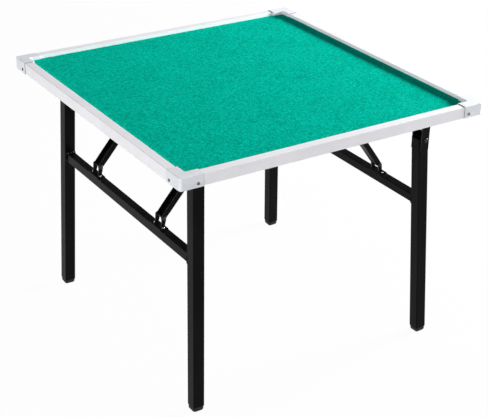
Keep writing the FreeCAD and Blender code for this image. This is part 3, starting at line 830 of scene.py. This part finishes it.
def painted_group(context, names, body_of, sheet=True):
    """Copy, soften and paint a group of steel nodes; rounded edges, and narrow faces of pressed
    sheet, take the lighter edge colour: worn paint and a painted highlight.
    """
    tones = context.scene.table_finishes
    sizes = context.scene.frame_sizes
    for node in names:
        piece = merged_copy(node, node + "_painted")
        give(piece, black_paint(tones), black_paint(tones, edge=True))
        # Narrow faces across the sheet get the lighter edge colour: worn paint and a painted
        # highlight along the flanges.
        for face in piece.data.polygons if sheet else ():
            across = [piece.data.vertices[corner].co.y for corner in face.vertices]
            if abs(face.normal.y) < ASIDE and max(across) - min(across) < sizes.sheet_steel:
                face.material_index = 1
        soften_edges(piece, sizes.steel_edge, steps=2)
        hand_over(piece, body_of(node), "black_steel", node)


class GAMETABLE_OT_leg_tubes(bpy.types.Operator):
    """Soften and paint the four leg tubes"""

    bl_idname = "game_table.leg_tubes"
    bl_label = "Leg tubes"

    def execute(self, context):
        names = ["%s_leg_%s" % place for place in PLACES]
        painted_group(context, names, own_frame, sheet=False)
        return {"FINISHED"}


class GAMETABLE_OT_crossbars(bpy.types.Operator):
    """Round and paint the two crossbar tubes"""

    bl_idname = "game_table.crossbars"
    bl_label = "Crossbars"

    def execute(self, context):
        tones = context.scene.table_finishes
        for side in SIDES:
            node = side + "_crossbar"
            bar = merged_copy(node, node + "_painted")
            low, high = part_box(node)
            wide = (high.x - low.x) / 2 - NEAR
            middle = (low + high) / 2

            def along_tube(edge):
                one, two = (end.co for end in edge.verts)
                return abs(one.y - two.y) > high.y and abs(one.x - middle.x) > wide * BAR_SHARE

            open_edit(bar)
            round_edges(along_tube, context.scene.frame_sizes.bar_edge, steps=4)
            close_edit()
            give(bar, black_paint(tones))
            hand_over(bar, side + "_frame", "black_steel", node)
        return {"FINISHED"}


def own_size(sizes, side, name):
    """The left or the right frame's own size."""
    return getattr(sizes, "%s_%s" % (side, name))


def frame_matrix(side, sizes):
    """Place of a leg frame's own axes: its pivot line, leaning outwards."""
    turn = 0 if side == "left" else math.pi
    pivot = PIVOTS[side + "_frame"]
    base = Matrix.Translation((pivot.x, 0, pivot.z)) @ Matrix.Rotation(turn, 4, "Z")
    return base @ Matrix.Rotation(own_size(sizes, side, "lean"), 4, "Y")


def leg_matrix(side, sign, sizes):
    """Place of a leg's own axis; the sign is along the frame's own y."""
    place = (sizes.pivot_offset, sign * own_size(sizes, side, "half"), 0)
    own = Matrix.Translation(place) @ Matrix.Rotation(sign * sizes.splay, 4, "X")
    return frame_matrix(side, sizes) @ own


def row_sign(side, row):
    """The right frame is turned half round, so its rows swap."""
    sign = 1 if row == "back" else -1
    return sign if side == "left" else -sign


class GAMETABLE_OT_foot_caps(bpy.types.Operator):
    """Model the domed feet that plug the leg ends"""

    bl_idname = "game_table.foot_caps"
    bl_label = "Foot caps"

    def execute(self, context):
        sizes = context.scene.frame_sizes
        finish = foot_finish(context.scene.table_finishes)
        for side in SIDES:
            foot = self.model(side, sizes)
            give(foot, finish)
            for row in ROWS:
                node = "%s_foot_%s" % (side, row)
                place = leg_matrix(side, row_sign(side, row), sizes)
                one = copied(foot, node + "_moulded", place)
                open_edit(one)
                split((0, 0, 0), (0, 0, -1), trim=True)
                bpy.ops.mesh.select_all(action="SELECT")
                bpy.ops.mesh.normals_make_consistent(inside=False)
                close_edit()
                hand_over(one, side + "_frame", "black_foot", node)
            bpy.data.objects.remove(foot)
        return {"FINISHED"}

    def model(self, side, sizes):
        """A foot on its leg's own axis: domed below, with a plug above."""
        lean = own_size(sizes, side, "lean")
        drop = PIVOTS[side + "_frame"].z - sizes.pivot_offset * math.sin(lean)
        run = drop / (math.cos(sizes.splay) * math.cos(lean))
        end = -(run - sizes.foot_height + sizes.foot_cut)
        sole = end - sizes.foot_height
        half = sizes.tube_half
        foot = block("foot", (-half, -half, sole), (half, half, end))
        open_edit(foot)
        round_edges(
            lambda edge: not near(edge.verts[0].co.z, edge.verts[1].co.z),
            sizes.foot_corner, steps=6)
        round_edges(edges_on(z=sole), sizes.foot_sole, steps=7)
        choose("FACE", faces_at(Z, 1))
        bpy.ops.mesh.inset(thickness=sizes.tube_wall + NEAR * 2)
        push(0, 0, sizes.foot_plug)
        close_edit()
        return foot


class GAMETABLE_OT_weld_beads(bpy.types.Operator):
    """Lay a rippled weld bead round each crossbar end"""

    bl_idname = "game_table.weld_beads"
    bl_label = "Weld beads"

    def execute(self, context):
        sizes = context.scene.frame_sizes
        tones = context.scene.table_finishes
        half = sizes.bar_width / 2
        for side, row in PLACES:
            lean = own_size(sizes, side, "lean")
            level = -own_size(sizes, side, "bar_drop") / math.cos(lean)
            sign = row_sign(side, row)
            bpy.ops.mesh.primitive_torus_add(
                major_radius=half, minor_radius=sizes.weld_size,
                major_segments=144, minor_segments=12)
            bead = settled("%s_weld_%s" % (side, row))
            self.lay(bead, half, sizes, level, sign)
            bead.data.transform(leg_matrix(side, sign, sizes))
            bead.data.update()
            give(bead, black_paint(tones))
            hand_over(bead, side + "_frame", "black_steel")
        return {"FINISHED"}

    def lay(self, bead, half, sizes, level, sign):
        """Square the ring to the tube, ripple it and set it on the leg's inner face."""
        turn = sign * sizes.splay
        height = (level + sign * sizes.tube_half * math.sin(turn)) / math.cos(turn)
        for vertex in bead.data.vertices:
            spot = vertex.co
            bearing = math.atan2(spot.y, spot.x)
            ray = Vector((math.cos(bearing), math.sin(bearing), 0))
            square = (abs(ray.x) ** WELD_SQUARE + abs(ray.y) ** WELD_SQUARE) ** (-1 / WELD_SQUARE)
            around = spot - ray * half
            swell = 1 + sizes.weld_ripple / sizes.weld_size * math.sin(bearing * WELD_RIPPLES)
            spot = ray * half * square + around * swell
            vertex.co = (spot.x, spot.z - sign * sizes.tube_half, spot.y + height)


class GAMETABLE_OT_leg_brackets(bpy.types.Operator):
    """Paint the hinge brackets under the panel"""

    bl_idname = "game_table.leg_brackets"
    bl_label = "Leg brackets"

    def execute(self, context):
        names = ["leg_bracket_" + stay for stay in STAYS]
        painted_group(context, names, lambda node: "table_top")
        return {"FINISHED"}


class GAMETABLE_OT_stay_anchors(bpy.types.Operator):
    """Paint the forks that hold the stays under the panel"""

    bl_idname = "game_table.stay_anchors"
    bl_label = "Stay anchors"

    def execute(self, context):
        names = ["stay_anchor_" + stay for stay in STAYS]
        painted_group(context, names, lambda node: "table_top")
        return {"FINISHED"}


class GAMETABLE_OT_crossbar_lugs(bpy.types.Operator):
    """Paint the lugs on the crossbars"""

    bl_idname = "game_table.crossbar_lugs"
    bl_label = "Crossbar lugs"

    def execute(self, context):
        names = ["%s_lug_%s" % place for place in PLACES]
        painted_group(context, names, own_frame)
        return {"FINISHED"}


class GAMETABLE_OT_stay_links(bpy.types.Operator):
    """Paint the lower and upper links of the folding stays"""

    bl_idname = "game_table.stay_links"
    bl_label = "Stay links"

    def execute(self, context):
        names = [part + "_link_" + stay for part in ("lower", "upper") for stay in STAYS]
        painted_group(context, names, lambda node: node.replace("_link_", "_stay_"))
        return {"FINISHED"}


def domed_rivets(node, body, radius, tones):
    """Copy a node of rivets along y and round the rims of their heads."""
    piece = merged_copy(node, node + "_domed")
    open_edit(piece)
    cage = bmesh.from_edit_mesh(piece.data)
    left = set(cage.verts)
    ends = set()
    while left:
        island, queue = set(), [next(iter(left))]
        while queue:
            spot = queue.pop()
            if spot in left:
                left.discard(spot)
                island.add(spot)
                queue.extend(edge.other_vert(spot) for edge in spot.link_edges)
        low = min(spot.co.y for spot in island)
        high = max(spot.co.y for spot in island)
        ends |= {spot.index for spot in island if near(spot.co.y, low) or near(spot.co.y, high)}

    def round_head(edge):
        one, two = edge.verts
        return (
            one.index in ends and two.index in ends and near(one.co.y, two.co.y)
            and len(edge.link_faces) == 2 and edge.calc_face_angle() > HEAD_CREASE)

    round_edges(round_head, radius, steps=4)
    close_edit()
    give(piece, finish_of(
        metal_finish, "rivet_blackening", tones.rivet, tones.rivet_dark, 160, 0.34))
    hand_over(piece, body, "plain_steel", node)


class GAMETABLE_OT_rivets(bpy.types.Operator):
    """Dome the heads of the pivot, stay and lug rivets"""

    bl_idname = "game_table.rivets"
    bl_label = "Rivets"

    def execute(self, context):
        sizes = context.scene.frame_sizes
        tones = context.scene.table_finishes
        domed_rivets("leg_pivot_rivets", "table_top", sizes.pivot_dome, tones)
        domed_rivets("stay_top_rivets", "table_top", sizes.rivet_dome, tones)
        bright = metal_finish(
            "bright_plating", tones.bright, tones.bright_dull, scale=300, gloss=0.3)
        for side in SIDES:
            domed_rivets(side + "_lug_rivets", side + "_frame", sizes.rivet_dome, tones)
            node = side + "_lug_fixings"
            fixings = merged_copy(node, node + "_domed")
            give(fixings, bright)
            soften_edges(fixings, sizes.rivet_dome, steps=4)
            hand_over(fixings, side + "_frame", "bright_steel", node)
        for stay in STAYS:
            domed_rivets("knee_heads_" + stay, "upper_stay_" + stay, sizes.rivet_dome, tones)
            domed_rivets("knee_pin_" + stay, "lower_stay_" + stay, sizes.rivet_dome / 2, tones)
        return {"FINISHED"}


class GAMETABLE_OT_wood_screws(bpy.types.Operator):
    """Model a wood screw and put one in each hole of the brackets and anchors"""

    bl_idname = "game_table.wood_screws"
    bl_label = "Wood screws"

    def execute(self, context):
        sizes = context.scene.frame_sizes
        tones = context.scene.table_finishes
        finish = metal_finish(
            "plain_plating", tones.plated, tones.plated_dark, scale=160, gloss=0.34)
        screw = pan_head_screw(
            sizes.wood_head, sizes.wood_rise, sizes.wood_shank, sizes.wood_length)
        for node in ("bracket_screws", "anchor_screws"):
            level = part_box(node)[0].z + sizes.wood_rise
            placed = []
            for count, (x, y) in enumerate(self.seats(node, sizes.wood_head)):
                turn = Matrix.Rotation(count * WOOD_TURN, 4, "Z")
                seat = Matrix.Translation((x, y, level)) @ turn
                placed.append(copied(screw, "screw_copy", seat))
            whole = joined(placed, node + "_plated")
            give(whole, finish)
            hand_over(whole, "table_top", "plain_steel", node)
        bpy.data.objects.remove(screw)
        return {"FINISHED"}

    def seats(self, node, head):
        """Middles of the screws of a node, from the corners of its heads."""
        groups = []
        for vertex in frame["nodes"][node].data.vertices:
            spot = vertex.co
            for group in groups:
                if (group[0] - spot).xy.length < head * SPREAD:
                    group.append(spot)
                    break
            else:
                groups.append([spot])
        middles = []
        for group in groups:
            xs = [spot.x for spot in group]
            ys = [spot.y for spot in group]
            middles.append(((min(xs) + max(xs)) / 2, (min(ys) + max(ys)) / 2))
        return sorted(middles)


class GAMETABLE_OT_studio(bpy.types.Operator):
    """Set the plain floor, the soft light and the camera"""

    bl_idname = "game_table.studio"
    bl_label = "Studio"

    def execute(self, context):
        studio = context.scene.studio_sizes
        self.floor(studio)
        self.world(studio)
        for lamp in LAMPS:
            self.lamp(*lamp)
        self.camera(studio)
        context.scene.view_settings.view_transform = "Standard"
        return {"FINISHED"}

    def floor(self, studio):
        """A matt floor, nearly white where it is seen but dull in the light it gives back."""
        bpy.ops.mesh.primitive_plane_add(
            size=studio.floor_size, location=(0, 0, -studio.floor_drop))
        ground = settled("studio_floor")
        finish = bpy.data.materials.new("studio_floor_white")
        tree, surface = emptied(finish, "ShaderNodeOutputMaterial")
        grey = (*(studio.floor_tone,) * 3, 1)
        matt = new_node(tree, "ShaderNodeBsdfDiffuse", Color=grey).outputs["BSDF"]
        white = tree.nodes.new("ShaderNodeEmission").outputs["Emission"]
        pale = blend(tree, studio.floor_white, matt, white)
        tree.links.new(blend(tree, self.seen(tree), matt, pale), surface)
        give(ground, finish)

    def seen(self, tree):
        """One for camera, glossy and transmission rays, which see the white floor."""
        path = tree.nodes.new("ShaderNodeLightPath")
        gloss = combine(
            tree, "MAXIMUM", path.outputs["Is Glossy Ray"], path.outputs["Is Transmission Ray"])
        return combine(tree, "MAXIMUM", path.outputs["Is Camera Ray"], gloss)

    def world(self, studio):
        """Faint even light, with plain white behind the table for the camera alone."""
        world = bpy.data.worlds.new("studio_world")
        bpy.context.scene.world = world
        tree, surface = emptied(world, "ShaderNodeOutputWorld")
        soft, white = (
            new_node(
                tree, "ShaderNodeBackground", Color=(1, 1, 1, 1), Strength=strength,
            ).outputs["Background"] for strength in (studio.even_light, 1))
        path = tree.nodes.new("ShaderNodeLightPath")
        tree.links.new(blend(tree, path.outputs["Is Camera Ray"], soft, white), surface)

    def lamp(self, name, place, target, wide, tall, power):
        bpy.ops.object.light_add(type="AREA", location=place)
        lamp = bpy.context.object
        lamp.name = name
        lamp.data.shape = "RECTANGLE"
        lamp.data.size = wide
        lamp.data.size_y = tall
        lamp.data.energy = power
        sight = Vector(target) - Vector(place)
        lamp.rotation_euler = sight.to_track_quat("-Z", "Y").to_euler()

    def camera(self, studio):
        flat = math.cos(studio.elevation)
        back = Vector((
            math.sin(studio.azimuth) * flat, -math.cos(studio.azimuth) * flat,
            math.sin(studio.elevation)))
        level = Vector((math.cos(studio.azimuth), math.sin(studio.azimuth), 0))
        rise = back.cross(level)
        right = level * math.cos(studio.roll) + rise * math.sin(studio.roll)
        up = rise * math.cos(studio.roll) - level * math.sin(studio.roll)
        bpy.ops.object.camera_add()
        camera = bpy.context.object
        camera.name = "photo_camera"
        axes = Matrix((right, up, back)).transposed().to_4x4()
        camera.matrix_world = Matrix.Translation(studio.place) @ axes
        camera.data.sensor_width = studio.sensor
        camera.data.lens = studio.lens
        camera.data.clip_end = studio.sight
        bpy.context.scene.camera = camera


PIECES = (
    GAMETABLE_OT_felt_cover,
    GAMETABLE_OT_top_board,
    GAMETABLE_OT_rim_strips,
    GAMETABLE_OT_corner_caps,
    GAMETABLE_OT_cap_screws,
    GAMETABLE_OT_leg_tubes,
    GAMETABLE_OT_crossbars,
    GAMETABLE_OT_weld_beads,
    GAMETABLE_OT_foot_caps,
    GAMETABLE_OT_leg_brackets,
    GAMETABLE_OT_stay_anchors,
    GAMETABLE_OT_crossbar_lugs,
    GAMETABLE_OT_stay_links,
    GAMETABLE_OT_rivets,
    GAMETABLE_OT_wood_screws,
    GAMETABLE_OT_studio,
)


class GAMETABLE_PT_pieces(bpy.types.Panel):
    """Lists the pieces of the game table"""

    bl_idname = "GAMETABLE_PT_pieces"
    bl_label = "Game table"
    bl_space_type = "VIEW_3D"
    bl_region_type = "UI"
    bl_category = "Game table"

    def draw(self, context):
        for piece in PIECES:
            self.layout.operator(piece.bl_idname)


GROUPS = {
    "top_sizes": TopSizes,
    "frame_sizes": FrameSizes,
    "table_finishes": TableFinishes,
    "studio_sizes": StudioSizes,
}


def register():
    for name, group in GROUPS.items():
        bpy.utils.register_class(group)
        setattr(bpy.types.Scene, name, PointerProperty(type=group))
    for piece in PIECES:
        bpy.utils.register_class(piece)
    bpy.utils.register_class(GAMETABLE_PT_pieces)


def unregister():
    bpy.utils.unregister_class(GAMETABLE_PT_pieces)
    for piece in reversed(PIECES):
        bpy.utils.unregister_class(piece)
    for name, group in GROUPS.items():
        delattr(bpy.types.Scene, name)
        bpy.utils.unregister_class(group)


def main():
    register()
    bpy.ops.game_table.felt_cover()
    bpy.ops.game_table.top_board()
    bpy.ops.game_table.rim_strips()
    bpy.ops.game_table.corner_caps()
    bpy.ops.game_table.cap_screws()
    bpy.ops.game_table.leg_tubes()
    bpy.ops.game_table.crossbars()
    bpy.ops.game_table.weld_beads()
    bpy.ops.game_table.foot_caps()
    bpy.ops.game_table.leg_brackets()
    bpy.ops.game_table.stay_anchors()
    bpy.ops.game_table.crossbar_lugs()
    bpy.ops.game_table.stay_links()
    bpy.ops.game_table.rivets()
    bpy.ops.game_table.wood_screws()
    bpy.ops.game_table.studio()


if __name__ == "__main__":
    main()
